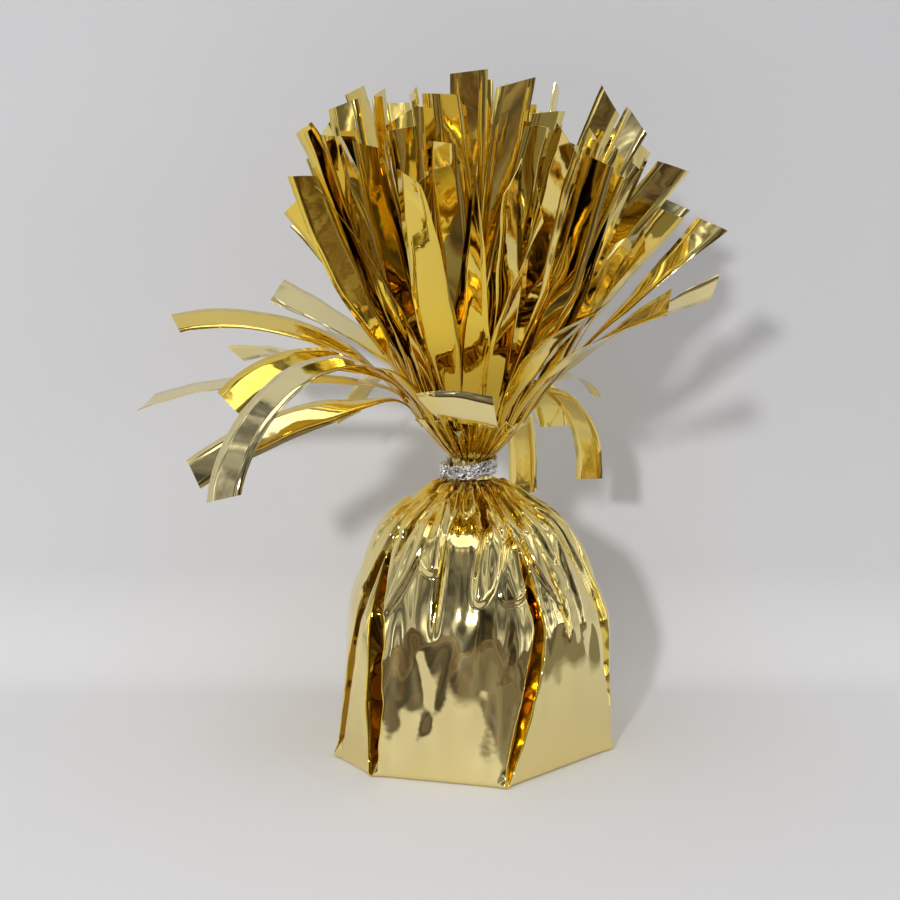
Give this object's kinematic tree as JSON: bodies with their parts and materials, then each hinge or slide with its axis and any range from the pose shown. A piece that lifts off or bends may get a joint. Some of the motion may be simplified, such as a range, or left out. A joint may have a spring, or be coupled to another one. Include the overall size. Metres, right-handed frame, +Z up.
{
  "type": "balloon weight",
  "caption": "Foil balloon weight: a hard core wrapped in gold metallised film, gathered and tied at the neck with silver cord under a burst of cut foil strips.",
  "frame": {"origin": "centre of the foot, on the surface it stands on", "axes": "+Z up through the neck to the fringe, -Y towards the viewer of the picture, +X to the viewer's right"},
  "size_m": [0.1288, 0.1124, 0.142],
  "materials": {
    "gold_film": "mirror-bright metallised film, gold",
    "silver_cord": "braided metallic yarn, silver",
    "cast_weight": "cast plaster, matt",
    "cup_plastic": "moulded, white"
  },
  "bodies": {
    "weight": {"weight_block": "cast_weight", "cup": "cup_plastic", "cup_lid": "cup_plastic", "foil_wrapper": "gold_film", "neck_gather": "gold_film", "neck_tie": "silver_cord", "tie_knot": "silver_cord", "crown_ring_1": "gold_film", "crown_ring_2": "gold_film", "crown_ring_3": "gold_film", "crown_ring_4": "gold_film", "crown_ring_5": "gold_film", "crown_ring_6": "gold_film", "crown_ring_7": "gold_film", "crown_ring_8": "gold_film", "outer_strip_right": "gold_film", "outer_strip_right_curl": "gold_film", "outer_strip_back_spike": "gold_film", "outer_strip_back_a": "gold_film", "outer_strip_back_b": "gold_film", "outer_strip_front_left": "gold_film", "outer_strip_front_mid": "gold_film", "outer_strip_front_low": "gold_film", "outer_strip_front_right": "gold_film", "outer_strip_right_amber": "gold_film"},
    "outer_strip_right_pale": {"outer_strip_right_pale": "gold_film"},
    "outer_strip_right_arch": {"outer_strip_right_arch": "gold_film"},
    "outer_strip_back_hanging": {"outer_strip_back_hanging": "gold_film"},
    "outer_strip_left_tab": {"outer_strip_left_tab": "gold_film"},
    "outer_strip_left_upper": {"outer_strip_left_upper": "gold_film"},
    "outer_strip_left_pale": {"outer_strip_left_pale": "gold_film"},
    "outer_strip_left_far": {"outer_strip_left_far": "gold_film"},
    "outer_strip_left_level": {"outer_strip_left_level": "gold_film"},
    "outer_strip_left_dark": {"outer_strip_left_dark": "gold_film"},
    "outer_strip_left_arch": {"outer_strip_left_arch": "gold_film"},
    "outer_strip_left_hanging": {"outer_strip_left_hanging": "gold_film"},
    "outer_strip_front_tab": {"outer_strip_front_tab": "gold_film"},
    "outer_strip_right_white": {"outer_strip_right_white": "gold_film"},
    "outer_strip_right_long": {"outer_strip_right_long": "gold_film"}
  },
  "joints": [
    {"name": "right_pale_bend", "type": "hinge", "parent": "weight", "child": "outer_strip_right_pale", "pos_m": [0.01179, 0.00383, 0.07138], "axis": [-0.309, 0.9511, 0], "range_deg": [-8, 8], "stiffness_Nm_per_rad": 0.003},
    {"name": "right_arch_bend", "type": "hinge", "parent": "weight", "child": "outer_strip_right_arch", "pos_m": [0.00845, 0.00907, 0.07138], "axis": [-0.7314, 0.682, 0], "range_deg": [-8, 8], "stiffness_Nm_per_rad": 0.003},
    {"name": "back_hanging_bend", "type": "hinge", "parent": "weight", "child": "outer_strip_back_hanging", "pos_m": [0.00342, 0.01192, 0.07138], "axis": [-0.9613, 0.2756, 0], "range_deg": [-8, 8], "stiffness_Nm_per_rad": 0.003},
    {"name": "left_tab_bend", "type": "hinge", "parent": "weight", "child": "outer_strip_left_tab", "pos_m": [-0.0062, 0.01073, 0.07138], "axis": [-0.866, -0.5, 0], "range_deg": [-8, 8], "stiffness_Nm_per_rad": 0.003},
    {"name": "left_upper_bend", "type": "hinge", "parent": "weight", "child": "outer_strip_left_upper", "pos_m": [-0.00877, 0.00877, 0.07138], "axis": [-0.7071, -0.7071, 0], "range_deg": [-8, 8], "stiffness_Nm_per_rad": 0.003},
    {"name": "left_pale_bend", "type": "hinge", "parent": "weight", "child": "outer_strip_left_pale", "pos_m": [-0.01073, 0.0062, 0.07138], "axis": [-0.5, -0.866, 0], "range_deg": [-8, 8], "stiffness_Nm_per_rad": 0.003},
    {"name": "left_far_bend", "type": "hinge", "parent": "weight", "child": "outer_strip_left_far", "pos_m": [-0.01197, 0.00321, 0.07138], "axis": [-0.2588, -0.9659, 0], "range_deg": [-8, 8], "stiffness_Nm_per_rad": 0.003},
    {"name": "left_level_bend", "type": "hinge", "parent": "weight", "child": "outer_strip_left_level", "pos_m": [-0.01239, 0, 0.07138], "axis": [0, -1, 0], "range_deg": [-8, 8], "stiffness_Nm_per_rad": 0.003},
    {"name": "left_dark_bend", "type": "hinge", "parent": "weight", "child": "outer_strip_left_dark", "pos_m": [-0.01197, -0.00321, 0.07138], "axis": [0.2588, -0.9659, 0], "range_deg": [-8, 8], "stiffness_Nm_per_rad": 0.003},
    {"name": "left_arch_bend", "type": "hinge", "parent": "weight", "child": "outer_strip_left_arch", "pos_m": [-0.01073, -0.0062, 0.07138], "axis": [0.5, -0.866, 0], "range_deg": [-8, 8], "stiffness_Nm_per_rad": 0.003},
    {"name": "left_hanging_bend", "type": "hinge", "parent": "weight", "child": "outer_strip_left_hanging", "pos_m": [-0.00861, -0.00892, 0.07138], "axis": [0.7193, -0.6947, 0], "range_deg": [-8, 8], "stiffness_Nm_per_rad": 0.003},
    {"name": "front_tab_bend", "type": "hinge", "parent": "weight", "child": "outer_strip_front_tab", "pos_m": [-0.00601, -0.01084, 0.07138], "axis": [0.8746, -0.4848, 0], "range_deg": [-8, 8], "stiffness_Nm_per_rad": 0.003},
    {"name": "right_white_bend", "type": "hinge", "parent": "weight", "child": "outer_strip_right_white", "pos_m": [0.00892, -0.00861, 0.07138], "axis": [0.6947, 0.7193, 0], "range_deg": [-8, 8], "stiffness_Nm_per_rad": 0.003},
    {"name": "right_long_bend", "type": "hinge", "parent": "weight", "child": "outer_strip_right_long", "pos_m": [0.01208, -0.00279, 0.07138], "axis": [0.225, 0.9744, 0], "range_deg": [-8, 8], "stiffness_Nm_per_rad": 0.003}
  ]
}
